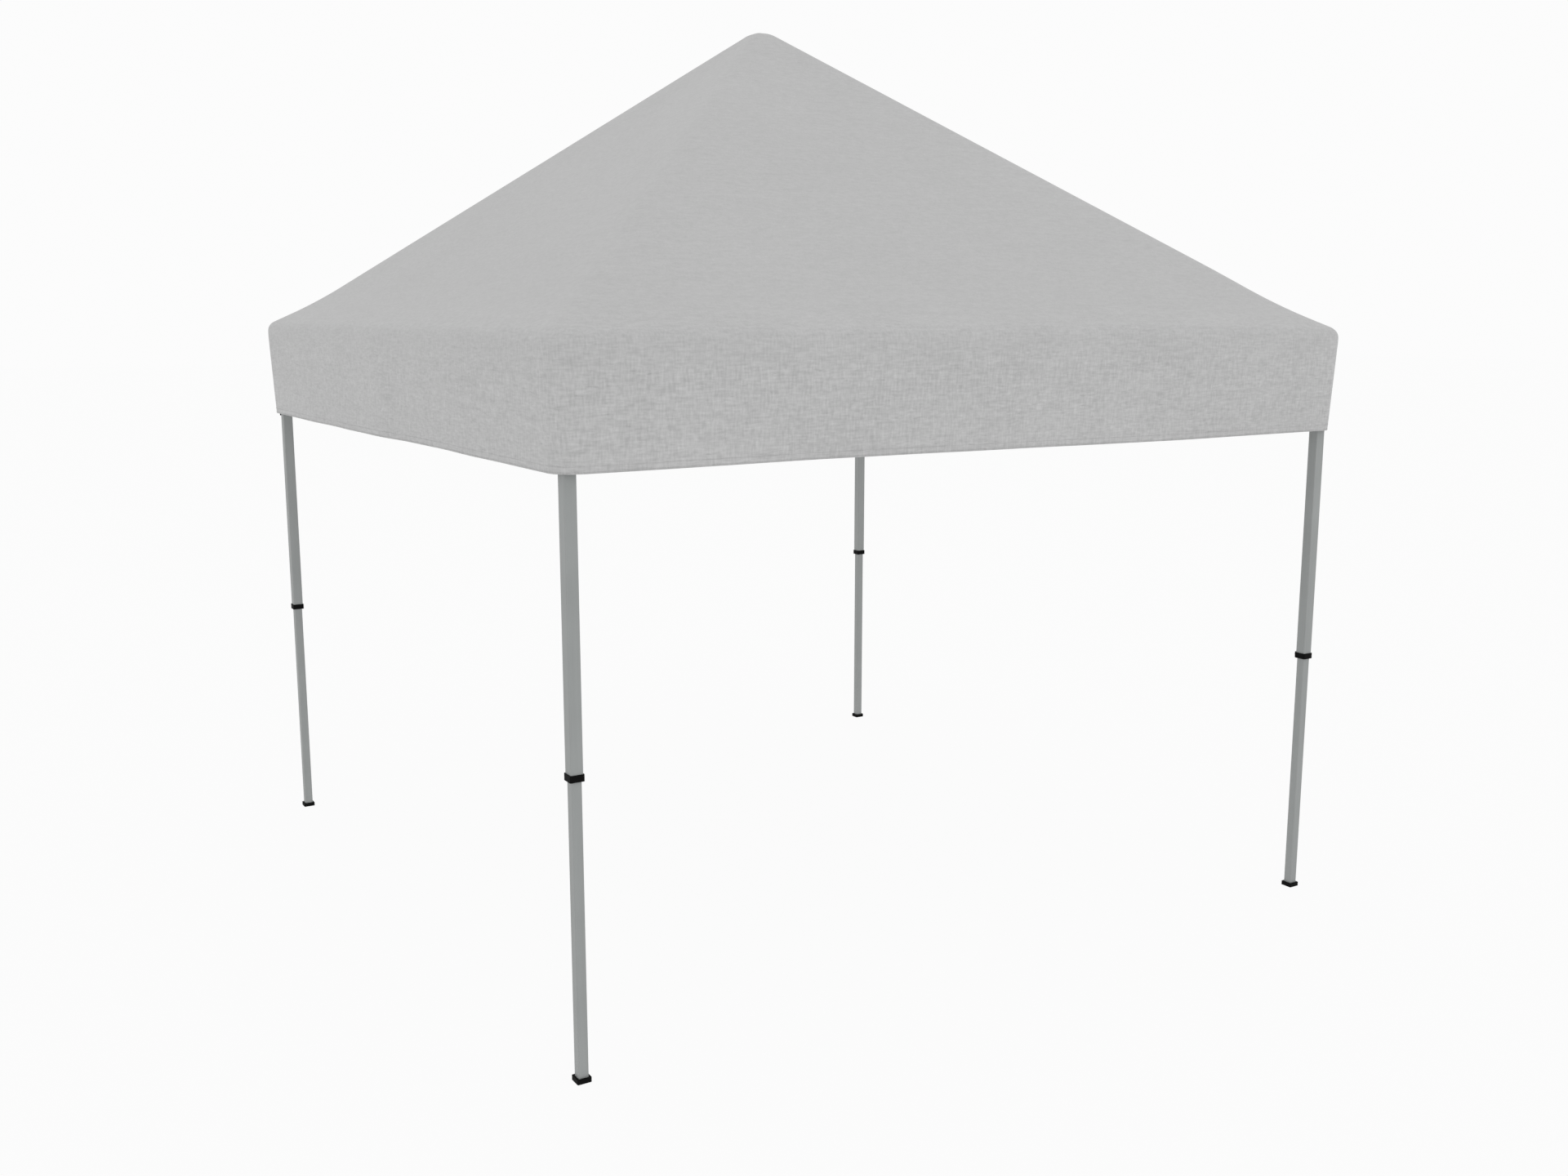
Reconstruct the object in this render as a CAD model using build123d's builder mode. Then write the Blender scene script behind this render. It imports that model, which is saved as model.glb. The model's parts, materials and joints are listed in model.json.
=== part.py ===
from build123d import *
from math import cos, radians, sin
import os

# Pop-up canopy, 3 x 3 m: a scissor-truss frame on four telescoping legs under a peaked fabric top.
#
# Millimetres, +Z up, origin on the ground at the middle of the four legs. The front is at -Y.
# Each side of the frame is the front side turned by 90 degrees about Z, so the side's own plane
# measures along the side, up, and outward.

# Driving dimensions: plan and heights
leg_half_spacing = 1460.0
top_pivot_z = 1955.0
bar_slope_deg = 8.5
cross_from_leg = 485.0
leg_pivot_offset = 76.0
mid_pivot_inset = 41.0
hub_pivot_offset = leg_pivot_offset - mid_pivot_inset
collar_z = 892.0
peak_z = 3166.0

# Truss bars and bolts
bar_width = 25.0
bar_thickness = 13.0
bar_wall = 1.2
bar_overhang = bar_width / 2
layer_gap = 1.0
layer_outer = layer_gap + bar_thickness
bolt_radius = 4.0
bolt_hole_radius = 4.1
bolt_head_radius = 7.0
bolt_head_height = 4.0
bolt_end_play = 0.3
tab_half_height = 12.0
tab_thickness = 6.5
tab_gap = 0.5
mid_plate_thickness = 6.0

# How far a joined solid runs into its neighbour, and a cut past the face that it opens
overlap = 1.0

# Legs
outer_size = 38.0
outer_wall = 2.0
outer_top_z = 2040.0
inner_size = 31.0
inner_wall = 1.5
inner_bottom_z = 4.0
inner_top_z = 1080.0
lock_hole_pitch = 120.0
lock_holes_below = 7
lock_hole_radius = 4.5
tube_corner_radius = 3.0
fitting_size = 44.0
fitting_corner_radius = 4.0
foot_height = 14.0
collar_height = 20.0
collar_lip = 2.0
inner_clearance = 0.6
slider_clearance = 0.6
slider_below_pivot = 62.0
slider_above_pivot = 20.0
bracket_below_pivot = 35.0
bracket_cap = 12.0

# Lock buttons and pull pins
nose_radius = 4.0
nose_gap = 0.4
button_head_radius = 7.0
button_head_height = 5.5
button_edge_radius = 1.5
button_head_clearance = 0.1
button_tube_hole_radius = 4.2
button_pocket_depth = 5.0
button_boss_depth = 8.0
button_boss_width = 22.0
pin_drop = 42.0
pin_boss_radius = 9.0
pin_boss_length = 10.0
pin_knob_radius = 8.0
pin_knob_length = 8.0
pin_knob_edge_radius = 2.0
pin_tube_hole_radius = 4.3

# Hubs and mast
mast_radius = 14.0
mast_wall = 1.5
mast_top_z = 3145.0
mast_cap_radius = 32.0
mast_cap_height = 12.0
mast_cap_edge_radius = 8.0
hub_radius = 48.0
hub_plate = 12.0
hub_gap = 20.0
hub_sleeve_radius = 22.0
hub_sleeve_height = 28.0
hub_bore_radius = mast_radius + 0.3

# Canopy: half width, height and corner radius of each level, from the hem to the peak
fabric = 1.0
canopy_levels = [
    (1492.0, 1722.0, 30.0),
    (1497.0, 2066.0, 42.0),
    (1441.0, 2123.0, 60.0),
    (1311.0, 2219.0, 65.0),
    (1097.0, 2374.0, 60.0),
    (392.0, 2896.0, 40.0),
    (110.0, 3113.0, 30.0),
    (45.0, 3155.0, 20.0),
    (15.0, peak_z, 10.0),
]

# The linkage at rest
bar_length = (leg_half_spacing - leg_pivot_offset) / cos(radians(bar_slope_deg))
bar_rise = bar_length * sin(radians(bar_slope_deg))
slider_pivot_z = top_pivot_z - 2 * cross_from_leg * sin(radians(bar_slope_deg))
lower_mid_z = top_pivot_z - bar_rise
upper_mid_z = slider_pivot_z + bar_rise
cross_inset = leg_pivot_offset + cross_from_leg * cos(radians(bar_slope_deg))
cross_z = (top_pivot_z + slider_pivot_z) / 2
leg_x = leg_half_spacing - leg_pivot_offset
cross_x = leg_half_spacing - cross_inset

sides = ["front", "right", "back", "left"]
corners = ["front_left", "front_right", "back_right", "back_left"]
INWARD, OUTWARD = -1, 1

os.makedirs("parts", exist_ok=True)


def along(side):
    """Unit vector along a side, from its first leg to its second."""
    return Vector(1, 0, 0).rotate(Axis.Z, 90 * side)


def outward(side):
    return Vector(0, -1, 0).rotate(Axis.Z, 90 * side)


def side_plane(side):
    """The vertical plane through two legs: local x along the side, y up, z outward."""
    return Plane(origin=outward(side) * leg_half_spacing, x_dir=along(side), z_dir=outward(side))


def middle_plane(side):
    """The vertical plane from a side's middle to the mast: local x inward, y up, z along the side."""
    return Plane(origin=(0, 0, 0), x_dir=outward(side) * -1, z_dir=along(side))


def leg_axis(corner):
    x, y = ((-1, -1), (1, -1), (1, 1), (-1, 1))[corner]
    return x * leg_half_spacing, y * leg_half_spacing


def slab(plane, centre, width, height, start, stop, turn=0.0, mode=Mode.ADD):
    """A rectangle on a plane, extruded between two distances from it."""
    with BuildSketch(plane.offset(start)) as outline:
        with Locations(centre):
            Rectangle(width, height, rotation=turn)
    extrude(outline.sketch, amount=stop - start, mode=mode)


def rod(plane, centre, radius, start, stop, mode=Mode.ADD):
    """A circle on a plane, extruded between two distances from it."""
    with BuildSketch(plane.offset(start)) as outline:
        with Locations(centre):
            Circle(radius)
    extrude(outline.sketch, amount=stop - start, mode=mode)


def rounded_block(centre, size, corner_radius, bottom, top, mode=Mode.ADD):
    """An upright square block with rounded edges."""
    with BuildSketch(Plane.XY.offset(bottom)) as outline:
        with Locations(centre):
            RectangleRounded(size, size, corner_radius)
    extrude(outline.sketch, amount=top - bottom, mode=mode)


def bolt(plane, centre, layer):
    """A bolt fixed in a bar of one layer and free in the bar of the other."""
    far = layer_outer + bolt_end_play
    rod(plane, centre, bolt_radius, layer * layer_outer, -layer * far)
    rod(plane, centre, bolt_head_radius, layer * layer_outer, layer * (layer_outer + bolt_head_height))
    rod(plane, centre, bolt_head_radius, -layer * far, -layer * (far + bolt_head_height))


def tab_pin(plane, centre, layer):
    """A pin that stands out of a tab, through a bar of the given layer."""
    far = layer_outer + bolt_end_play
    rod(plane, centre, bolt_radius, -layer * tab_gap, layer * far)
    rod(plane, centre, bolt_head_radius, layer * far, layer * (far + bolt_head_height))


def tab(plane, start_x, end_x, z, layer):
    """A flat ear beside the bar's layer, from start_x to end_x along the plane."""
    centre = ((start_x + end_x) / 2, z)
    width = abs(end_x - start_x)
    slab(plane, centre, width, 2 * tab_half_height, -layer * tab_gap, -layer * (tab_gap + tab_thickness))


def truss_bar(name, plane, first, last, layer, bolts=(), holes=()):
    """An open-ended rectangular tube between two pivots, with its own bolts and bolt holes."""
    centre = ((first[0] + last[0]) / 2, (first[1] + last[1]) / 2)
    turn = (Vector(*last) - Vector(*first)).get_signed_angle(Vector(1, 0, 0), Vector(0, 0, -1))
    length = bar_length + 2 * bar_overhang
    near, far = layer * layer_gap, layer * layer_outer
    wall = layer * bar_wall
    with BuildPart() as bar:
        slab(plane, centre, length, bar_width, near, far, turn)
        slab(plane, centre, length + bar_width, bar_width - 2 * bar_wall, near + wall, far - wall,
             turn, Mode.SUBTRACT)
        for place in holes:
            rod(plane, place, bolt_hole_radius, near - wall, far + wall, Mode.SUBTRACT)
        for place in bolts:
            bolt(plane, place, layer)
    write(bar, name)


def write(built, name):
    built.part.label = name
    export_step(built.part, f"parts/{name}.step")


# Canopy: one closed thin shell, open below
with BuildPart() as canopy_top:
    for half_width, z, corner_radius in canopy_levels:
        with BuildSketch(Plane.XY.offset(z)):
            RectangleRounded(2 * half_width, 2 * half_width, corner_radius)
    loft(ruled=True)
    for level, (half_width, z, corner_radius) in enumerate(canopy_levels):
        inner_half = half_width - fabric
        inner_z = z if level == 0 else z - fabric
        with BuildSketch(Plane.XY.offset(inner_z)):
            RectangleRounded(2 * inner_half, 2 * inner_half, corner_radius - fabric)
    loft(ruled=True, mode=Mode.SUBTRACT)
write(canopy_top, "canopy_top")

# Side trusses: bars 1 and 2 at the first leg, bars 3 and 4 at the second
for side, side_name in enumerate(sides):
    plane = side_plane(side)
    free_mid = side_name in ("left", "right")
    lower_mid, upper_mid = (0, lower_mid_z), (0, upper_mid_z)
    for number, direction, layer in ((1, -1, INWARD), (3, 1, OUTWARD)):
        top, cross = (direction * leg_x, top_pivot_z), (direction * cross_x, cross_z)
        owns_mid = free_mid and number == 1
        truss_bar(f"{side_name}_truss_bar_{number}", plane, top, lower_mid, layer,
                  bolts=[cross, lower_mid] if owns_mid else [cross],
                  holes=[top] if owns_mid else [top, lower_mid])
    for number, direction, layer in ((2, -1, OUTWARD), (4, 1, INWARD)):
        foot_pivot, cross = (direction * leg_x, slider_pivot_z), (direction * cross_x, cross_z)
        owns_mid = free_mid and number == 2
        truss_bar(f"{side_name}_truss_bar_{number}", plane, foot_pivot, upper_mid, layer,
                  bolts=[upper_mid] if owns_mid else [],
                  holes=[foot_pivot, cross] if owns_mid else [foot_pivot, cross, upper_mid])

# Cross truss from the front and back middles to the mast, with the brackets that carry it
middle_x = -(leg_half_spacing - mid_pivot_inset)
for side in (0, 2):
    plane, across = side_plane(side), middle_plane(side)
    cross = (-hub_pivot_offset - cross_from_leg * cos(radians(bar_slope_deg)), cross_z)
    hub_top, hub_slide = (-hub_pivot_offset, top_pivot_z), (-hub_pivot_offset, slider_pivot_z)
    truss_bar(f"{sides[side]}_cross_bar_1", across, (middle_x, lower_mid_z), hub_top, OUTWARD,
              bolts=[cross], holes=[(middle_x, lower_mid_z), hub_top])
    truss_bar(f"{sides[side]}_cross_bar_2", across, (middle_x, upper_mid_z), hub_slide, INWARD,
              holes=[(middle_x, upper_mid_z), hub_slide, cross])
    for level_name, z, layer in (("lower", lower_mid_z, OUTWARD), ("upper", upper_mid_z, INWARD)):
        plate_face = -layer_outer - tab_gap
        with BuildPart() as mid_bracket:
            slab(plane, (0, z), 2 * tab_half_height, 2 * tab_half_height, plate_face,
                 plate_face - mid_plate_thickness)
            rod(plane, (0, z), bolt_radius, plate_face, layer_outer + bolt_end_play)
            rod(plane, (0, z), bolt_head_radius, layer_outer + bolt_end_play,
                layer_outer + bolt_end_play + bolt_head_height)
            tab(across, -leg_half_spacing - plate_face, middle_x + tab_half_height, z, layer)
            tab_pin(across, (middle_x, z), layer)
        write(mid_bracket, f"{sides[side]}_{level_name}_mid_bracket")

# Hubs: the upper one guides the mast, the lower one holds it
with BuildPart() as upper_hub:
    plate_z = top_pivot_z + hub_gap
    rod(Plane.XY, (0, 0), hub_radius, plate_z, plate_z + hub_plate)
    rod(Plane.XY, (0, 0), hub_sleeve_radius, plate_z, plate_z + hub_plate + hub_sleeve_height)
    rod(Plane.XY, (0, 0), hub_bore_radius, plate_z - overlap, plate_z + 2 * hub_plate + hub_sleeve_height,
        Mode.SUBTRACT)
    for side in (0, 2):
        ear_middle = (-hub_pivot_offset, top_pivot_z + (hub_gap - tab_half_height) / 2)
        slab(middle_plane(side), ear_middle, 2 * tab_half_height, hub_gap + tab_half_height,
             -tab_gap, -tab_gap - tab_thickness)
        tab_pin(middle_plane(side), (-hub_pivot_offset, top_pivot_z), OUTWARD)
write(upper_hub, "upper_hub")

with BuildPart() as lower_hub:
    plate_z = slider_pivot_z - hub_gap
    rod(Plane.XY, (0, 0), hub_radius, plate_z - hub_plate, plate_z)
    rod(Plane.XY, (0, 0), mast_radius, plate_z - 2 * hub_plate, plate_z + overlap, Mode.SUBTRACT)
    for side in (0, 2):
        ear_middle = (-hub_pivot_offset, slider_pivot_z - (hub_gap - tab_half_height) / 2)
        slab(middle_plane(side), ear_middle, 2 * tab_half_height, hub_gap + tab_half_height,
             tab_gap, tab_gap + tab_thickness)
        tab_pin(middle_plane(side), (-hub_pivot_offset, slider_pivot_z), INWARD)
write(lower_hub, "lower_hub")

with BuildPart() as mast:
    mast_bottom = slider_pivot_z - hub_gap - hub_plate
    rod(Plane.XY, (0, 0), mast_radius, mast_bottom, mast_top_z - mast_cap_height)
    rod(Plane.XY, (0, 0), mast_radius - mast_wall, mast_bottom, mast_top_z - mast_cap_height,
        Mode.SUBTRACT)
    rod(Plane.XY, (0, 0), mast_cap_radius, mast_top_z - mast_cap_height, mast_top_z)
    fillet(mast.edges().group_by(Axis.Z)[-1], radius=mast_cap_edge_radius)
write(mast, "mast")

# Legs, one per corner
for corner, corner_name in enumerate(corners):
    axis = leg_axis(corner)
    first_side, second_side = side_plane(corner), side_plane((corner - 1) % 4)
    button_plane = Plane(origin=(*axis, collar_z), x_dir=(-1, 0, 0), z_dir=(0, 1, 0))
    pin_z = slider_pivot_z - pin_drop
    pin_plane = Plane(origin=(*axis, pin_z), x_dir=outward(corner), z_dir=along(corner))
    fitting_half = fitting_size / 2

    with BuildPart() as outer_leg:
        bottom = collar_z - collar_height / 2 + collar_lip
        rounded_block(axis, outer_size, tube_corner_radius, bottom, outer_top_z)
        rounded_block(axis, outer_size - 2 * outer_wall, tube_corner_radius - outer_wall, bottom,
                      outer_top_z, Mode.SUBTRACT)
        rod(button_plane, (0, 0), button_tube_hole_radius, inner_size / 2, outer_size / 2 + overlap,
            Mode.SUBTRACT)
        rod(pin_plane, (0, 0), pin_tube_hole_radius, inner_size / 2, outer_size / 2 + overlap,
            Mode.SUBTRACT)
    write(outer_leg, f"{corner_name}_outer_leg")

    with BuildPart() as top_bracket:
        rounded_block(axis, fitting_size, fitting_corner_radius, top_pivot_z - bracket_below_pivot,
                      outer_top_z + bracket_cap)
        rounded_block(axis, outer_size, tube_corner_radius, top_pivot_z - bracket_below_pivot,
                      outer_top_z, Mode.SUBTRACT)
        tab(first_side, -leg_half_spacing + fitting_half - overlap, -leg_x + tab_half_height,
            top_pivot_z, INWARD)
        tab_pin(first_side, (-leg_x, top_pivot_z), INWARD)
        tab(second_side, leg_half_spacing - fitting_half + overlap, leg_x - tab_half_height,
            top_pivot_z, OUTWARD)
        tab_pin(second_side, (leg_x, top_pivot_z), OUTWARD)
    write(top_bracket, f"{corner_name}_top_bracket")

    with BuildPart() as slider:
        slider_bottom, slider_top = slider_pivot_z - slider_below_pivot, slider_pivot_z + slider_above_pivot
        rounded_block(axis, fitting_size, fitting_corner_radius, slider_bottom, slider_top)
        rod(pin_plane, (0, 0), pin_boss_radius, outer_size / 2, fitting_half + pin_boss_length)
        tab(first_side, -leg_half_spacing + fitting_half - overlap, -leg_x + tab_half_height,
            slider_pivot_z, OUTWARD)
        tab_pin(first_side, (-leg_x, slider_pivot_z), OUTWARD)
        tab(second_side, leg_half_spacing - fitting_half + overlap, leg_x - tab_half_height,
            slider_pivot_z, INWARD)
        tab_pin(second_side, (leg_x, slider_pivot_z), INWARD)
        rounded_block(axis, outer_size + 2 * slider_clearance, tube_corner_radius, slider_bottom,
                      slider_top, Mode.SUBTRACT)
        rod(pin_plane, (0, 0), bolt_hole_radius, outer_size / 2, fitting_half + 2 * pin_boss_length,
            Mode.SUBTRACT)
    write(slider, f"{corner_name}_slider")

    with BuildPart() as slider_pin:
        knob_start = fitting_half + pin_boss_length + bolt_end_play
        rod(pin_plane, (0, 0), nose_radius, outer_size / 2 + nose_gap, knob_start + overlap)
        rod(pin_plane, (0, 0), pin_knob_radius, knob_start, knob_start + pin_knob_length)
        fillet(slider_pin.edges().filter_by(GeomType.CIRCLE).sort_by(
            lambda edge: (edge.center() - pin_plane.origin).length)[-1], radius=pin_knob_edge_radius)
    write(slider_pin, f"{corner_name}_slider_pin")

    with BuildPart() as leg_collar:
        collar_bottom, collar_top = collar_z - collar_height / 2, collar_z + collar_height / 2
        rounded_block(axis, fitting_size, fitting_corner_radius, collar_bottom, collar_top)
        slab(button_plane, (0, 0), button_boss_width, collar_height, outer_size / 2,
             fitting_half + button_boss_depth)
        rounded_block(axis, outer_size, tube_corner_radius, collar_bottom + collar_lip, collar_top,
                      Mode.SUBTRACT)
        rounded_block(axis, inner_size + 2 * inner_clearance, tube_corner_radius - outer_wall,
                      collar_bottom, collar_top, Mode.SUBTRACT)
        rod(button_plane, (0, 0), bolt_hole_radius, inner_size / 2, fitting_half + 2 * button_boss_depth,
            Mode.SUBTRACT)
        pocket_floor = fitting_half + button_boss_depth - button_pocket_depth
        rod(button_plane, (0, 0), button_head_radius + button_head_clearance, pocket_floor,
            pocket_floor + 2 * button_boss_depth, Mode.SUBTRACT)
    write(leg_collar, f"{corner_name}_leg_collar")

    with BuildPart() as lock_button:
        head_start = fitting_half + button_boss_depth - tab_gap
        rod(button_plane, (0, 0), nose_radius, inner_size / 2 + nose_gap, head_start + overlap)
        rod(button_plane, (0, 0), button_head_radius, head_start, head_start + button_head_height)
        fillet(lock_button.edges().group_by(Axis.Y)[-1], radius=button_edge_radius)
    write(lock_button, f"{corner_name}_lock_button")

    with BuildPart() as inner_leg:
        rounded_block(axis, inner_size, tube_corner_radius, inner_bottom_z, inner_top_z)
        rounded_block(axis, inner_size - 2 * inner_wall, tube_corner_radius - inner_wall, inner_bottom_z,
                      inner_top_z, Mode.SUBTRACT)
        for step in range(-lock_holes_below, 2):
            rod(button_plane, (0, step * lock_hole_pitch), lock_hole_radius, 0, inner_size, Mode.SUBTRACT)
    write(inner_leg, f"{corner_name}_inner_leg")

    with BuildPart() as foot:
        rounded_block(axis, fitting_size, fitting_corner_radius, 0, foot_height)
        rounded_block(axis, inner_size, tube_corner_radius, inner_bottom_z, foot_height, Mode.SUBTRACT)
    write(foot, f"{corner_name}_foot")
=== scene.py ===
"""Looks of the pop-up canopy: the fabric top, its hem and straps, the tubes, fittings and feet."""
import json
import math
import bpy
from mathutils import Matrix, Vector

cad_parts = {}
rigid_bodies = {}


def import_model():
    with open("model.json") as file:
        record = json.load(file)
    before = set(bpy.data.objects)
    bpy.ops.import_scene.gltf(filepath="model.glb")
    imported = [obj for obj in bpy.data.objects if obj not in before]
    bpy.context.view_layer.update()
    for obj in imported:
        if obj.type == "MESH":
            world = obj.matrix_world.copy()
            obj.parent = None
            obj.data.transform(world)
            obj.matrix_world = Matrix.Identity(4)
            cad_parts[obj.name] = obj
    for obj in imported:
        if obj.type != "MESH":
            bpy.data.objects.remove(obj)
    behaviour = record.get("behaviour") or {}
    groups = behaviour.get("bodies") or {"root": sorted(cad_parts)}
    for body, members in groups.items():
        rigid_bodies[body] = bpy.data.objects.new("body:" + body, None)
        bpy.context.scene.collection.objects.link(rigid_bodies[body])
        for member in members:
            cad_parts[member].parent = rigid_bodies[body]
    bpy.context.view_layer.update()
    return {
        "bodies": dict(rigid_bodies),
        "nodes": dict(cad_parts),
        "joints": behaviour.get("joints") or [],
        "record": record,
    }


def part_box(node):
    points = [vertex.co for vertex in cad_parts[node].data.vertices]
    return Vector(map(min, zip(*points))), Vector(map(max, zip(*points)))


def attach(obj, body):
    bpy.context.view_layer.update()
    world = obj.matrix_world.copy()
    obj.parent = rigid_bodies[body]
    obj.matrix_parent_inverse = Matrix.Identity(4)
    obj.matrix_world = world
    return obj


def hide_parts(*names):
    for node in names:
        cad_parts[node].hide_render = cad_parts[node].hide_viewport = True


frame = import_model()
scene = bpy.context.scene
scene.view_settings.view_transform = "Standard"

# Sizes of the canopy top, in metres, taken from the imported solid
canopy_low, canopy_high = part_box("canopy_top")
HEM_Z = canopy_low[2]
PEAK_Z = canopy_high[2]
EAVE_HALF = canopy_high[0]

# The corners, in the order in which the sides of the top start from them, and which way each one lies
LEG_HALF = abs(frame["record"]["mounts"][0]["pos_m"][0])
CORNERS = {"front_left": (-1, -1), "front_right": (1, -1), "back_right": (1, 1), "back_left": (-1, 1)}


def rgb(value, tint=(1.0, 1.0, 1.0)):
    """A grey, or a tinted grey, as a linear colour."""
    return (value * tint[0], value * tint[1], value * tint[2], 1.0)


# ---- materials -------------------------------------------------------------------------------

class Shader:
    """A small helper for one node material."""

    def __init__(self, name):
        self.material = bpy.data.materials.new(name)
        self.material.use_nodes = True
        self.nodes = self.material.node_tree.nodes
        self.links = self.material.node_tree.links
        self.surface = self.nodes["Principled BSDF"]
        self.place = self.nodes.new("ShaderNodeTexCoord").outputs["Object"]

    def stretched(self, scale):
        node = self.nodes.new("ShaderNodeMapping")
        node.inputs["Scale"].default_value = scale
        self.links.new(self.place, node.inputs["Vector"])
        return node.outputs["Vector"]

    def noise(self, scale, detail=4.0, stretch=None):
        node = self.nodes.new("ShaderNodeTexNoise")
        node.inputs["Scale"].default_value = scale
        node.inputs["Detail"].default_value = detail
        source = self.stretched(stretch) if stretch else self.place
        self.links.new(source, node.inputs["Vector"])
        return node.outputs["Fac"]

    def wave(self, scale, direction, distortion=0.4):
        node = self.nodes.new("ShaderNodeTexWave")
        node.bands_direction = direction
        node.inputs["Scale"].default_value = scale
        node.inputs["Distortion"].default_value = distortion
        self.links.new(self.place, node.inputs["Vector"])
        return node.outputs["Fac"]

    def math(self, operation, first, second):
        node = self.nodes.new("ShaderNodeMath")
        node.operation = operation
        for socket, value in zip(node.inputs, (first, second)):
            if isinstance(value, (int, float)):
                socket.default_value = value
            else:
                self.links.new(value, socket)
        return node.outputs[0]

    def ramp(self, source, low, high, start=0.3, end=0.7):
        node = self.nodes.new("ShaderNodeValToRGB")
        node.color_ramp.elements[0].position = start
        node.color_ramp.elements[1].position = end
        node.color_ramp.elements[0].color = low
        node.color_ramp.elements[1].color = high
        self.links.new(source, node.inputs["Fac"])
        return node.outputs["Color"]

    def colour(self, source):
        self.links.new(source, self.surface.inputs["Base Color"])

    def mixed(self, kind, share, first, second):
        """Two colours blended, share being a number or a node's output."""
        node = self.nodes.new("ShaderNodeMix")
        node.data_type, node.blend_type = "RGBA", kind
        sockets = [socket for socket in node.inputs if socket.type == "RGBA"]
        if isinstance(share, (int, float)):
            node.inputs[0].default_value = share
        else:
            self.links.new(share, node.inputs[0])
        self.links.new(first, sockets[0])
        self.links.new(second, sockets[1])
        return next(socket for socket in node.outputs if socket.type == "RGBA")

    def above(self, low, high):
        """0 below one height of the object and 1 above another."""
        split = self.nodes.new("ShaderNodeSeparateXYZ")
        self.links.new(self.place, split.inputs[0])
        node = self.nodes.new("ShaderNodeMapRange")
        node.inputs["From Min"].default_value = low
        node.inputs["From Max"].default_value = high
        self.links.new(split.outputs["Z"], node.inputs["Value"])
        return node.outputs["Result"]

    def roughness(self, source, low, high):
        node = self.nodes.new("ShaderNodeMapRange")
        node.inputs["To Min"].default_value = low
        node.inputs["To Max"].default_value = high
        self.links.new(source, node.inputs["Value"])
        self.links.new(node.outputs["Result"], self.surface.inputs["Roughness"])

    def bump(self, height, strength, distance):
        node = self.nodes.new("ShaderNodeBump")
        node.inputs["Strength"].default_value = strength
        node.inputs["Distance"].default_value = distance
        self.links.new(height, node.inputs["Height"])
        self.links.new(node.outputs["Normal"], self.surface.inputs["Normal"])


# Darkest and palest tone of the fabric where its weave is open, on the valance, and tight, on the roof,
# and the heights between which one turns into the other
OPEN_WEAVE = (0.350, 0.550)
TIGHT_WEAVE = (0.405, 0.495)
WEAVE_CHANGE = (1.98, 2.16)
THREAD_SCALE = 260
YARN_SCALE = 34.0


def polyester():
    """Coated woven polyester: a fine thread grid, loose slubs along the weft and a soft mottle."""
    slub_share, mottle_share, yarn_share = 0.15, 0.1, 0.75
    cloth = Shader("grey_polyester")
    threads = cloth.math("ADD", cloth.wave(THREAD_SCALE, "Z"),
                         cloth.math("ADD", cloth.wave(THREAD_SCALE, "X"), cloth.wave(THREAD_SCALE, "Y")))
    slubs = cloth.noise(6.0, 4.0, stretch=(1.0, 1.0, 14.0))
    mottle = cloth.noise(3.2, 5.0)
    weft = cloth.noise(YARN_SCALE, 3.0, stretch=(1.0, 1.0, 5.0))
    warp = cloth.noise(YARN_SCALE, 3.0, stretch=(5.0, 5.0, 1.0))
    yarns = cloth.math("MULTIPLY", cloth.math("ADD", weft, warp), 0.5)
    tone = cloth.math("ADD", cloth.math("MULTIPLY", slubs, slub_share),
                      cloth.math("ADD", cloth.math("MULTIPLY", mottle, mottle_share),
                                 cloth.math("MULTIPLY", yarns, yarn_share)))
    flecks = cloth.ramp(cloth.noise(26.0, 2.0, stretch=(1.0, 1.0, 7.0)), rgb(0.86), rgb(1.0), 0.26, 0.32)
    open_weave = cloth.mixed("MULTIPLY", 1.0, cloth.ramp(tone, *map(rgb, OPEN_WEAVE)), flecks)
    tight_weave = cloth.ramp(tone, *map(rgb, TIGHT_WEAVE))
    cloth.colour(cloth.mixed("MIX", cloth.above(*WEAVE_CHANGE), open_weave, tight_weave))
    cloth.roughness(yarns, 0.78, 0.92)
    relief = cloth.math("ADD", cloth.math("MULTIPLY", threads, 0.12),
                        cloth.math("ADD", cloth.math("MULTIPLY", slubs, 0.6), yarns))
    cloth.bump(relief, 0.35, 0.0008)
    cloth.surface.inputs["Sheen Weight"].default_value = 0.12
    cloth.surface.inputs["Sheen Roughness"].default_value = 0.5
    cloth.surface.inputs["Specular IOR Level"].default_value = 0.25
    return cloth.material


def webbing(name, value):
    """Narrow woven tape."""
    tape = Shader(name)
    ribs = tape.math("ADD", tape.wave(420, "Z"), tape.noise(220.0, 2.0))
    tape.colour(tape.ramp(ribs, rgb(value * 0.85), rgb(value * 1.1)))
    tape.roughness(ribs, 0.7, 0.9)
    tape.bump(ribs, 0.5, 0.0006)
    tape.surface.inputs["Specular IOR Level"].default_value = 0.15
    return tape.material


def aluminium(name, value, grain):
    """Satin tube: drawn grain along its length, light handling marks."""
    tube = Shader(name)
    drawn = tube.noise(60.0, 5.0, stretch=grain)
    marks = tube.noise(7.0, 6.0)
    tint_low, tint_high = (0.97, 1.01, 1.0), (0.98, 1.02, 1.01)
    tone = tube.math("ADD", tube.math("MULTIPLY", drawn, 0.5), tube.math("MULTIPLY", marks, 0.5))
    tube.colour(tube.ramp(tone, rgb(value * 0.92, tint_low), rgb(value * 1.07, tint_high)))
    tube.roughness(tone, 0.42, 0.6)
    tube.bump(drawn, 0.18, 0.0004)
    tube.surface.inputs["Metallic"].default_value = 0.4
    return tube.material


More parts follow.
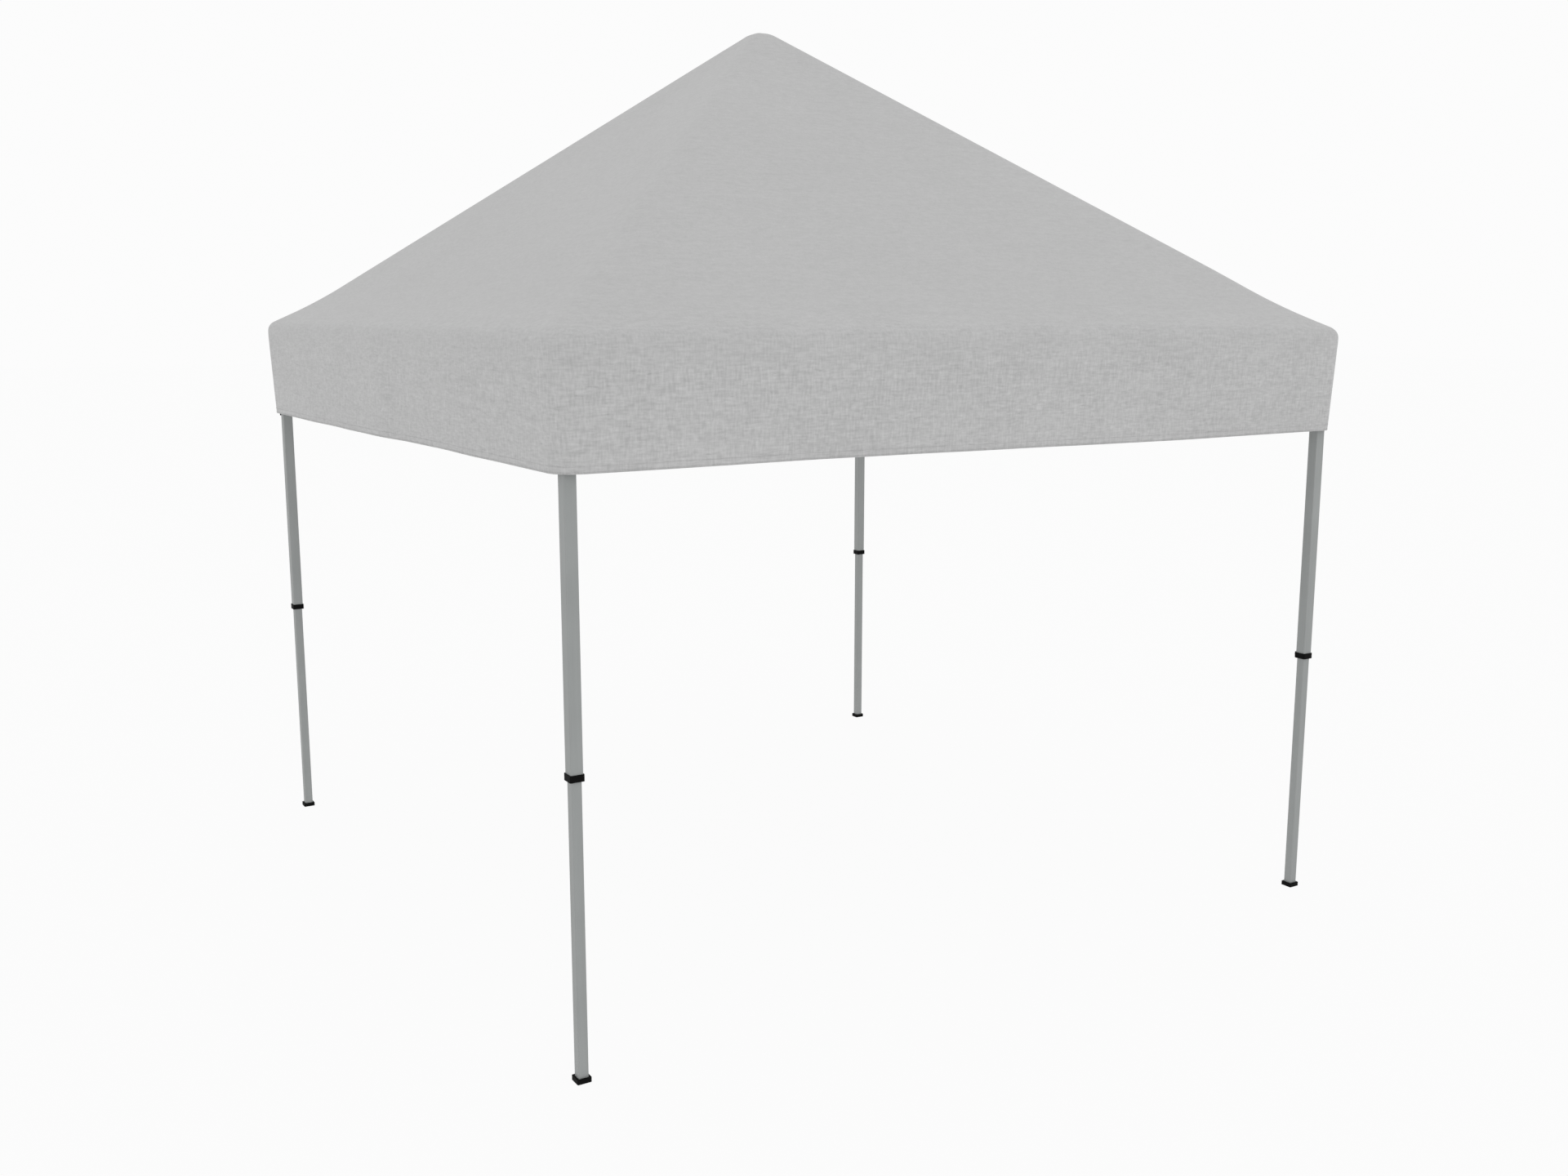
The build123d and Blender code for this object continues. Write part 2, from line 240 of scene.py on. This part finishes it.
def moulded(name, value, rough):
    """Moulded nylon with a fine spark grain and rubbed, slightly paler patches."""
    nylon = Shader(name)
    grain = nylon.noise(900.0, 3.0)
    rubbed = nylon.noise(35.0, 5.0)
    nylon.colour(nylon.ramp(rubbed, rgb(value), rgb(value * 2.2), 0.45, 0.8))
    nylon.roughness(rubbed, rough, rough + 0.15)
    nylon.bump(grain, 0.25, 0.0003)
    nylon.surface.inputs["Specular IOR Level"].default_value = 0.08
    return nylon.material


# The number after a name is the material's own tone
FABRIC = polyester()
HEM_TAPE = webbing("hem_tape", 0.42)
STRAP_TAPE = webbing("strap_tape", 0.006)
THREAD_GREY = webbing("thread_grey", 0.42)
LEG_METAL = aluminium("leg_aluminium", 0.307, (1.0, 1.0, 0.03))
TRUSS_METAL = aluminium("truss_aluminium", 0.30, (0.3, 0.3, 0.3))
BLACK_NYLON = moulded("black_nylon", 0.002, 0.6)
LOCK_NYLON = moulded("lock_nylon", 0.012, 0.35)


def dress_nodes():
    """Gives every CAD node its material by its name."""
    for name, node in frame["nodes"].items():
        if name.endswith(("_outer_leg", "_inner_leg")):
            material = LEG_METAL
        elif "_bar_" in name or name == "mast":
            material = TRUSS_METAL
        elif name.endswith(("_lock_button", "_slider_pin")):
            material = LOCK_NYLON
        else:
            material = BLACK_NYLON
        if not node.material_slots:
            node.data.materials.append(material)
        for slot in node.material_slots:
            slot.material = material


# ---- the fabric top --------------------------------------------------------------------------

# Outline of the hip: distance from the middle, height, and how far its bend is eased each way
OUTLINE = [(0.0, PEAK_Z, 0.0), (0.023, PEAK_Z, 0.023), (1.330, 2.182, 0.10), (1.498, 2.088, 0.028),
           (1.498, 2.036, 0.0)]
EAVE_HIP, EAVE_Z = OUTLINE[-1][:2]

# How finely the sheet is meshed along a side, a straight slope, a bend and the valance
SIDE_STEPS = 88
SLOPE_STEPS = 18
BEND_STEPS = 18
HEM_STEPS = 30

# The cloth, its rounded hips, its hem, and how deep its sags, pulls and flutes are
CLOTH = 0.0008
PEAK_DIP = 0.0005
PEAK_RADIUS = 0.035
EAVE_RADIUS = 0.070
EAVE_RADIUS_FROM = 1.2
HIP_CUT = 1 - math.sqrt(0.5)
HEM_TUCK = 0.013
HEM_CLEARANCE = 0.001
HEM_WANDER = 0.0035
CORNER_CROWDING = 0.22
ROOF_SAG = 0.016
ROOF_PULLS = 0.0016
ROOF_DRAPE = 0.0012
WIDE_FLUTES = 0.0045
NARROW_FLUTES = 0.0020

# How far the roof hangs slack at a corner, how wide that reaches, and how it fades out above the eave
SLACK = {"front_right": 0.012}
SLACK_REACH = 0.45
SLACK_FADE = 0.03


def eased_outline(steps_per_piece):
    """Points along the outline: straight runs between bends, and a quadratic curve at each bend."""
    points, start = [], Vector(OUTLINE[0][:2])
    for index in range(1, len(OUTLINE)):
        corner, ease = Vector(OUTLINE[index][:2]), OUTLINE[index][2]
        before = Vector(OUTLINE[index - 1][:2])
        leave = corner + (before - corner).normalized() * ease
        if (leave - start).length > 1e-6:
            points += [start.lerp(leave, step / steps_per_piece) for step in range(steps_per_piece)]
        start = leave
        if ease:
            after = corner + (Vector(OUTLINE[index + 1][:2]) - corner).normalized() * ease
            for step in range(BEND_STEPS):
                part = step / BEND_STEPS
                points.append(leave.lerp(corner, part).lerp(corner.lerp(after, part), part))
            start = after
    return points + [start]


def corner_radius(half):
    """Radius of the rounded hip, wider low down and never more than the section allows."""
    widening = (EAVE_RADIUS - PEAK_RADIUS) * min(1.0, half / EAVE_RADIUS_FROM)
    return min(0.9 * half, PEAK_RADIUS + widening)


def section_point(half, radius, turn, across):
    """A point on a rounded square: turn is its side, and across runs 0 to 1 from corner to corner."""
    flat = half - radius
    arc = math.pi / 4 * radius
    total = 2 * flat + 2 * arc
    run = across * total
    if run < arc:
        lean = math.pi / 4 - run / radius
        x, y = -flat - radius * math.sin(lean), -flat - radius * math.cos(lean)
    elif run > total - arc:
        lean = math.pi / 4 - (total - run) / radius
        x, y = flat + radius * math.sin(lean), -flat - radius * math.cos(lean)
    else:
        x, y = -flat + run - arc, -half
    cosine, sine = math.cos(turn * math.pi / 2), math.sin(turn * math.pi / 2)
    return x * cosine - y * sine, x * sine + y * cosine


def spread(even):
    """Places points along a side closer together near its two corners."""
    return even - CORNER_CROWDING * math.sin(2 * math.pi * even) / (2 * math.pi)


def roof_relief(x, y, half, across):
    """Small fall of the panel between its hips, and shallow pulls that run up to the peak."""
    panel = math.sin(math.pi * across)
    span = min(1.0, half / EAVE_HALF)
    sag = ROOF_SAG * panel ** 2 * math.sin(math.pi * span) ** 1.2 if span < 1 else 0.0
    pulls = ROOF_PULLS * math.sin(23 * across + 1.3 * x) * panel * span * (1.1 - span)
    drape = ROOF_DRAPE * math.sin(5.1 * x + 3.7 * y) * math.sin(4.3 * y - 2.9 * x)
    return sag + pulls + drape * panel


def corner_slack(x, y, z):
    """How far the roof hangs slack beside a corner whose bracket holds it less tight."""
    fall = 0.0
    for corner, depth in SLACK.items():
        side_x, side_y = CORNERS[corner]
        gap = math.hypot(x - side_x * EAVE_HIP, y - side_y * EAVE_HIP) / SLACK_REACH
        if gap < 1:
            fall += depth * (1 - gap * gap) ** 2 * min(1.0, max(0.0, (z - EAVE_Z) / SLACK_FADE))
    return fall


def valance_relief(across, turn, drop):
    """Shallow flutes that open towards the hem, a little different on each side."""
    panel = math.sin(math.pi * across) ** 0.8
    phase = 1.7 * turn
    flutes = (WIDE_FLUTES * math.sin(2 * math.pi * 3.0 * across + phase)
              + NARROW_FLUTES * math.sin(2 * math.pi * 7.0 * across + 2.1 * phase))
    return flutes * panel * drop ** 1.4


def roof_point(place, turn, across, inset=0.0):
    """A point of the roof where its hip is at place, moved inward by inset."""
    hip, z = place
    radius = corner_radius(hip)
    half = hip + HIP_CUT * radius
    x, y = section_point(max(1e-4, half - inset), max(1e-5, radius - inset), turn, across)
    return x, y, z - roof_relief(x, y, half, across) - corner_slack(x, y, z) - inset


def valance_point(drop, turn, across, inset=0.0):
    """A point of the valance, drop running 0 to 1 from the eave to the hem, moved inward by inset."""
    radius = corner_radius(EAVE_HIP)
    half = EAVE_HIP + HIP_CUT * radius - HEM_TUCK * drop + valance_relief(across, turn, drop)
    x, y = section_point(half - inset, radius - inset, turn, across)
    z = EAVE_Z + (HEM_Z + HEM_CLEARANCE - EAVE_Z) * drop
    return x, y, z + HEM_WANDER * math.sin(math.pi * across) * math.sin(6.0 * across + turn) * drop


def mesh_piece(name, verts, faces, material):
    """A smooth-shaded object made of the given points and faces."""
    mesh = bpy.data.meshes.new(name)
    mesh.from_pydata(verts, [], faces)
    mesh.polygons.foreach_set("use_smooth", [True] * len(mesh.polygons))
    mesh.materials.append(material)
    mesh.validate()
    piece = bpy.data.objects.new(name, mesh)
    scene.collection.objects.link(piece)
    return piece


def ring_faces(levels, ring, first=0):
    """Quads between closed rings of points."""
    faces = []
    for level in range(levels - 1):
        here, after = first + level * ring, first + (level + 1) * ring
        for step in range(ring):
            beside = (step + 1) % ring
            faces.append((here + step, after + step, after + beside, here + beside))
    return faces


def strip_faces(rows, columns, first=0):
    """Quads of an open grid of points, row by row."""
    faces = []
    for row in range(rows - 1):
        for column in range(columns - 1):
            here = first + row * columns + column
            faces.append((here, here + 1, here + columns + 1, here + columns))
    return faces


def plug_faces(levels, ring, first):
    """Quads along a run of rings, with a face over each end."""
    faces = []
    for level in range(levels - 1):
        start = first + level * ring
        for step in range(ring):
            here, beside = start + step, start + (step + 1) % ring
            faces.append((here, beside, beside + ring, here + ring))
    faces.append(tuple(first + step for step in reversed(range(ring))))
    faces.append(tuple(first + (levels - 1) * ring + step for step in range(ring)))
    return faces


def build_canopy():
    """One continuous sheet from the peak over the eave to the hem."""
    places = eased_outline(SLOPE_STEPS)[1:]
    verts, ring = [(0.0, 0.0, PEAK_Z - PEAK_DIP)], 4 * SIDE_STEPS
    rows = [(roof_point, tuple(place)) for place in places]
    rows += [(valance_point, (step + 1) / HEM_STEPS) for step in range(HEM_STEPS)]
    for shape, place in rows:
        for step in range(ring):
            turn, local = divmod(step, SIDE_STEPS)
            verts.append(shape(place, turn, spread(local / SIDE_STEPS)))
    faces = [(0, 1 + step, 1 + (step + 1) % ring) for step in range(ring)]
    return mesh_piece("canopy_fabric", verts, faces + ring_faces(len(rows), ring, 1), FABRIC)


HEM_FOLD = 0.024
HEM_FOLD_INSET = 0.0016
HEM_FOLD_FULLNESS = 0.0005
STITCH_PITCH = 0.008
STITCH_LENGTH = 0.005
STITCH_MARGIN = 0.004

# Where a stitch starts, in pitches, and how wide its thread is at shares of its length
STITCH_START = 0.2
THREAD_PROFILE = ((0.0, 0.35), (0.25, 1.0), (0.75, 1.0), (1.0, 0.35))
THREAD = 0.0005
THREAD_SIDES = 6


def build_hem_fold():
    """The folded edge inside the hem."""
    verts, ring, rows = [], 4 * SIDE_STEPS, 5
    tall = HEM_FOLD / (EAVE_Z - HEM_Z)
    for row in range(rows):
        for step in range(ring):
            turn, local = divmod(step, SIDE_STEPS)
            drop = 1 - tall * row / (rows - 1)
            inset = HEM_FOLD_INSET + HEM_FOLD_FULLNESS * math.sin(math.pi * row / (rows - 1))
            verts.append(valance_point(drop, turn, spread(local / SIDE_STEPS), inset))
    return mesh_piece("hem_fold", verts, ring_faces(rows, ring), HEM_TAPE)


def thread_stitch(verts, faces, start, end, out):
    """One stitch: a short thread lying on the cloth, pinched at both ends."""
    start, end, out = Vector(start), Vector(end), Vector(out).normalized()
    run = end - start
    side = run.cross(out).normalized()
    base = len(verts)
    for share, width in THREAD_PROFILE:
        middle = start + run * share + out * THREAD * 0.4
        for corner in range(THREAD_SIDES):
            angle = 2 * math.pi * corner / THREAD_SIDES
            verts.append(middle + (side * math.cos(angle) + out * math.sin(angle)) * THREAD * width)
    faces += plug_faces(len(THREAD_PROFILE), THREAD_SIDES, base)


def build_stitching():
    """Two rows of stitches along the hem fold."""
    verts, faces = [], []
    around = int(2 * EAVE_HALF / STITCH_PITCH)
    height = EAVE_Z - HEM_Z
    for rise in (STITCH_MARGIN, HEM_FOLD - STITCH_MARGIN):
        drop = 1 - rise / height
        for turn in range(4):
            out = (math.sin(turn * math.pi / 2), -math.cos(turn * math.pi / 2), 0)
            for count in range(around):
                place = count + STITCH_START
                start = valance_point(drop, turn, place / around)
                end = valance_point(drop, turn, (place + STITCH_LENGTH / STITCH_PITCH) / around)
                thread_stitch(verts, faces, start, end, out)
    return mesh_piece("stitching", verts, faces, THREAD_GREY)


TAB_WIDE = 0.030
TAB_TALL = 0.030
TAB_SHOWS = 0.014
TAB_INSET = 0.0030

# The side of the top that ends at the back left corner
TAB_SIDE = 2


def build_hem_tab():
    """A webbing tab sewn inside the hem at the back left corner, whose end shows below it."""
    verts, rows, columns = [], 7, 9
    height = EAVE_Z - HEM_Z
    for row in range(rows):
        drop = 1 + (TAB_SHOWS - TAB_TALL * row / (rows - 1)) / height
        for column in range(columns):
            across = 1 - TAB_WIDE / (2 * EAVE_HALF) * column / (columns - 1)
            verts.append(valance_point(drop, TAB_SIDE, across, TAB_INSET))
    return mesh_piece("hem_tab", verts, strip_faces(rows, columns), STRAP_TAPE)


PATCH_REACH = 0.16
PATCH_DROP = 0.0035
PATCH_INSET = 0.0022
HIP_TAPE_WIDTH = 0.014
HIP_TAPE_START = 0.12
HIP_TAPE_INSET = 0.0020


def build_peak_patch():
    """Doubled fabric under the peak, where the mast bears."""
    places = [place for place in eased_outline(SLOPE_STEPS * 2)[1:] if place[0] < PATCH_REACH]
    verts, ring = [(0.0, 0.0, PEAK_Z - PATCH_DROP)], 4 * SIDE_STEPS
    for place in places:
        for step in range(ring):
            turn, local = divmod(step, SIDE_STEPS)
            verts.append(roof_point(tuple(place), turn, spread(local / SIDE_STEPS), PATCH_INSET))
    faces = [(0, 1 + step, 1 + (step + 1) % ring) for step in range(ring)]
    return mesh_piece("peak_patch", verts, faces + ring_faces(len(places), ring, 1), HEM_TAPE)


def build_hip_tapes():
    """A tape under each hip seam, from the peak patch to the eave."""
    verts, faces, columns = [], [], 7
    places = [place for place in eased_outline(SLOPE_STEPS) if place[0] > HIP_TAPE_START]
    for turn in range(4):
        faces += strip_faces(len(places), columns, len(verts))
        for place in places:
            reach = HIP_TAPE_WIDTH / (2 * place[0])
            for column in range(columns):
                offset = reach * (2 * column / (columns - 1) - 1)
                side, across = ((turn - 1) % 4, 1 + offset) if offset < 0 else (turn, offset)
                verts.append(roof_point(tuple(place), side, across, HIP_TAPE_INSET))
    return mesh_piece("hip_tapes", verts, faces, HEM_TAPE)


# ---- how the top folds with the frame ----------------------------------------------------------

PIVOTS = {joint["name"]: joint for joint in frame["joints"]}


def pivot(name):
    """Where a joint of the frame stands at rest."""
    return Vector(PIVOTS[name]["pos_m"])


# A cross bar's reaches from its crossing point, and how far the mast falls and the middle brackets rise
NEAR_REACH = (pivot("front_cross_pivot") - pivot("fold")).length
FAR_REACH = (pivot("front_upper_mid_pivot") - pivot("front_cross_pivot")).length
OPEN_SLOPE = math.asin((pivot("fold").z - pivot("front_cross_pivot").z) / NEAR_REACH)
SHUT_SLOPE = OPEN_SLOPE + math.radians(PIVOTS["fold"]["range_deg"][1])
SLOPE_CHANGE = math.sin(SHUT_SLOPE) - math.sin(OPEN_SLOPE)
MAST_DROP = 2 * NEAR_REACH * SLOPE_CHANGE
MID_RISE = (FAR_REACH - NEAR_REACH) * SLOPE_CHANGE

# The folded top: its height, how much higher its middle and its pleats are, the half width inside which
# the roof stands at that height, and the pleats round it
FOLDED_TOP = 2.435
MIDDLE_RISE = 0.02
PLEAT_RISE = 0.035
WALL_HALF = 1.484
PLEATS_PER_SIDE = 7
PLEAT_SHARE = 0.05


def hook(piece, body, weights):
    """Lets a CAD body pull the piece's vertices by their weights."""
    group = piece.vertex_groups.new(name=body)
    for index, weight in weights.items():
        group.add([index], min(1.0, weight), "REPLACE")
    pull = piece.modifiers.new(body, "HOOK")
    empty = frame["bodies"][body]
    pull.object = empty
    pull.vertex_group = body
    pull.falloff_type = "NONE"
    pull.matrix_inverse = empty.matrix_world.inverted() @ piece.matrix_world


def pleat_wave(x, y, z, run):
    """Height of the pleats from 0 to 1: regular at the corners, and wandering along the sides."""
    loose = 1 - run * run
    wave = 0.5 + 0.5 * math.sin(2 * math.pi * PLEATS_PER_SIDE * (run + 1) / 2
                                + 1.3 * math.sin(3 * x + 5 * y) * loose
                                + 0.5 * math.sin(7 * z + 4 * x) * loose)
    return wave * (1 - 0.45 * loose * (0.5 + 0.5 * math.sin(9 * x - 7 * y + 1.1)))


def gather_with_frame(piece):
    """The four legs draw the fabric in, with pleats, and the mast and bars set its roof's height."""
    pulls = {f"{corner}_leg": {} for corner in CORNERS}
    lifts = {"front_upper_mid_bracket": {}, "back_upper_mid_bracket": {}}
    drops = {"lower_hub": {}}
    for vertex in piece.data.vertices:
        x, y, z = vertex.co
        half = max(abs(x), abs(y), 1e-6)
        run = (x if abs(y) > abs(x) else y) / half
        out = half / EAVE_HALF
        wave = pleat_wave(x, y, z, run)
        share = 1 - PLEAT_SHARE * wave * out
        for corner, (side_x, side_y) in CORNERS.items():
            toward_x = (1 + side_x * max(-1.0, min(1.0, x / LEG_HALF))) / 2
            toward_y = (1 + side_y * max(-1.0, min(1.0, y / LEG_HALF))) / 2
            pulls[f"{corner}_leg"][vertex.index] = toward_x * toward_y * share
        if z <= EAVE_Z:
            continue
        wall = max(0.0, min(1.0, (EAVE_HALF - half) / (EAVE_HALF - WALL_HALF)))
        wall = wall * wall * (3 - 2 * wall)
        folded = FOLDED_TOP + PLEAT_RISE * wave * out + MIDDLE_RISE * (1 - out)
        change = (folded - z) * wall
        if change > 0:
            for weights in lifts.values():
                weights[vertex.index] = change / MID_RISE / 2
        else:
            drops["lower_hub"][vertex.index] = -change / MAST_DROP
    for body, weights in {**pulls, **lifts, **drops}.items():
        hook(piece, body, weights)


# ---- straps, crown and plugs -------------------------------------------------------------------

LEG_SIZE = 0.038
STRAP_Z = 1.862
STRAP_TALL = 0.025

# How loosely a strap fits its leg, its bend at the leg's corners, and how its tail lies over it
STRAP_EASE = 0.0008
STRAP_RADIUS = 0.0035
STRAP_LAP = 0.0012
STRAP_LAP_LIFT = 0.0008
STRAP_THICKNESS = 0.0009


def build_leg_strap(corner, side_x, side_y):
    """A hook-and-loop strap of the top, closed round the leg, with its tail lapped over."""
    half = LEG_SIZE / 2 + STRAP_EASE
    verts, steps, tail, rows = [], 96, 14, 5
    for step in range(steps + tail):
        lift = STRAP_LAP_LIFT * math.sin(math.pi * (step - steps) / tail)
        lap = 0.0 if step < steps else STRAP_LAP + lift
        turn, local = divmod(step % steps, steps // 4)
        x, y = section_point(half + lap, STRAP_RADIUS + lap, turn, local / (steps // 4))
        for row in range(rows):
            z = STRAP_Z + STRAP_TALL * (row / (rows - 1) - 0.5)
            verts.append((side_x * (LEG_HALF + x), side_y * (LEG_HALF + y), z))
    strap = mesh_piece(f"{corner}_leg_strap", verts, strip_faces(steps + tail, rows), STRAP_TAPE)
    give_thickness(strap, STRAP_THICKNESS, 1.0)
    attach(strap, f"{corner}_leg")


# The crown's foot and shoulder below the mast's top, its own top above it, and its fit, shell and ribs
CROWN_SKIRT = 0.012
CROWN_SHOULDER = 0.004
CROWN_HEIGHT = 0.0045
CROWN_EASE = 0.0012
CROWN_SHELL = 0.0006
CROWN_RIBS = 12
CROWN_RIB_DEPTH = 0.012
SKIRT_SHARE = 0.3


def build_mast_crown():
    """A ribbed dome pressed over the mast's cap."""
    _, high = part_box("mast")
    reach, foot, shoulder = high[0] + CROWN_EASE, high[2] - CROWN_SKIRT, high[2] - CROWN_SHOULDER
    dome = CROWN_HEIGHT + CROWN_SHOULDER
    verts, ring, rows = [], 96, 14
    for row in range(rows):
        share = row / (rows - 1)
        if share < SKIRT_SHARE:
            radius, z = reach, foot + (shoulder - foot) * share / SKIRT_SHARE
        else:
            bend = (share - SKIRT_SHARE) / (1 - SKIRT_SHARE) * math.pi / 2
            radius, z = reach * math.cos(bend), shoulder + dome * math.sin(bend)
        for step in range(ring):
            angle = 2 * math.pi * step / ring
            rib = 1 + CROWN_RIB_DEPTH * max(0.0, math.cos(CROWN_RIBS * angle)) * (1 - share)
            verts.append((radius * rib * math.cos(angle), radius * rib * math.sin(angle), z))
    crown = mesh_piece("mast_crown", verts, ring_faces(rows, ring), BLACK_NYLON)
    give_thickness(crown, CROWN_SHELL, 1.0)
    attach(crown, "lower_hub")


# How far each ring of a plug stands out of its bar, and its share of the plug's full size
PLUG_PROFILE = ((-0.0002, 1.0), (0.0005, 1.0), (0.0009, 0.92), (0.0012, 0.6))
PLUG_ROUNDING = 0.35
RIM_DEPTH = 0.0005


def end_plug(verts, faces, middle, out, tall, wide):
    """A domed plastic plug on one open end of a bar: tall and wide are its half sizes as vectors."""
    base, ring = len(verts), 24
    for depth, share in PLUG_PROFILE:
        for step in range(ring):
            angle = 2 * math.pi * step / ring
            cosine, sine = math.cos(angle), math.sin(angle)
            across = math.copysign(abs(cosine) ** PLUG_ROUNDING, cosine)
            along = math.copysign(abs(sine) ** PLUG_ROUNDING, sine)
            verts.append(middle + out * depth + tall * across * share + wide * along * share)
    faces += plug_faces(len(PLUG_PROFILE), ring, base)


def build_bar_plugs(bar):
    """Plugs in both ends of a truss bar, found from the ends of its own mesh."""
    points = [vertex.co for vertex in frame["nodes"][bar].data.vertices]
    pins = [Vector(joint["pos_m"]) for joint in frame["joints"]
            if joint["type"] == "hinge" and bar in (joint["parent"], joint["child"])]
    run = max(((second - first) for first in pins for second in pins), key=lambda gap: gap.length)
    run.normalize()
    wide_way = Vector((abs(run.y) > abs(run.x), abs(run.x) > abs(run.y), 0))
    tall_way = run.cross(wide_way).normalized()
    verts, faces = [], []
    for out in (run, -run):
        edge = max(point.dot(out) for point in points)
        rim = [point for point in points if point.dot(out) > edge - RIM_DEPTH]
        middle = sum(rim, Vector()) / len(rim)
        tall = max(abs((point - middle).dot(tall_way)) for point in rim)
        wide = max(abs((point - middle).dot(wide_way)) for point in rim)
        end_plug(verts, faces, middle, out, tall_way * tall, wide_way * wide)
    plugs = mesh_piece(f"{bar}_plugs", verts, faces, BLACK_NYLON)
    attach(plugs, bar)


def give_thickness(piece, thickness, offset=-1.0):
    """Turns a sheet into a shell, grown against its normals, or along them with an offset of 1."""
    solid = piece.modifiers.new("thickness", "SOLIDIFY")
    solid.thickness = thickness
    solid.offset = offset


# ---- stage -----------------------------------------------------------------------------------

FLOOR_REACH = 60.0
FLOOR_GLOW = 0.95
WORLD_TONE = 0.972


def build_stage():
    """A plain floor that glows almost as bright as the world around it, so that no horizon shows."""
    floor_mesh = bpy.data.meshes.new("floor")
    around = [(-1, -1), (1, -1), (1, 1), (-1, 1)]
    floor_mesh.from_pydata([(x * FLOOR_REACH, y * FLOOR_REACH, 0) for x, y in around], [], [(0, 1, 2, 3)])
    floor = bpy.data.objects.new("floor", floor_mesh)
    scene.collection.objects.link(floor)
    pale = bpy.data.materials.new("pale_floor")
    pale.use_nodes = True
    surface = pale.node_tree.nodes["Principled BSDF"]
    surface.inputs["Base Color"].default_value = rgb(0.02)
    surface.inputs["Roughness"].default_value = 0.9
    surface.inputs["Specular IOR Level"].default_value = 0.0
    surface.inputs["Emission Color"].default_value = rgb(1.0)
    surface.inputs["Emission Strength"].default_value = FLOOR_GLOW
    floor_mesh.materials.append(pale)
    world = bpy.data.worlds.new("studio")
    world.use_nodes = True
    background = world.node_tree.nodes["Background"]
    background.inputs["Color"].default_value = rgb(WORLD_TONE)
    background.inputs["Strength"].default_value = 1.0
    scene.world = world


def build_light():
    """One large soft light, high in front of the canopy."""
    light = bpy.data.lights.new("key", "AREA")
    light.shape = "RECTANGLE"
    light.size, light.size_y = 9.0, 6.0
    light.energy = 66.0
    holder = bpy.data.objects.new("key", light)
    holder.location = (0.0, -7.0, 8.0)
    canopy_middle = Vector((0, 0, 1.8))
    aim = canopy_middle - holder.location
    holder.rotation_euler = aim.to_track_quat("-Z", "Y").to_euler()
    scene.collection.objects.link(holder)


def build_camera():
    """The photograph's viewpoint: out from the front left corner, and a little above the valance."""
    data = bpy.data.cameras.new("camera")
    data.sensor_width = 36.0
    data.lens = 35.69
    data.clip_end = 400.0
    camera = bpy.data.objects.new("camera", data)
    camera.location = (-3.104, -5.2449, 2.1467)
    yaw, pitch = math.radians(31.449), math.radians(-10.135)
    look = Vector((math.cos(pitch) * math.sin(yaw), math.cos(pitch) * math.cos(yaw), math.sin(pitch)))
    camera.rotation_euler = look.to_track_quat("-Z", "Y").to_euler()
    scene.collection.objects.link(camera)
    scene.camera = camera


# ---- the whole canopy --------------------------------------------------------------------------

dress_nodes()
canopy = build_canopy()
hem_tab = build_hem_tab()
sewn = [build_hem_fold(), build_stitching(), build_peak_patch(), build_hip_tapes(), hem_tab]
for piece in [canopy] + sewn:
    gather_with_frame(piece)
    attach(piece, "upper_hub")
give_thickness(canopy, CLOTH)
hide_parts("canopy_top")

for corner, (side_x, side_y) in CORNERS.items():
    build_leg_strap(corner, side_x, side_y)
build_mast_crown()
for node in frame["nodes"]:
    if "_bar_" in node:
        build_bar_plugs(node)
build_stage()
build_light()
build_camera()
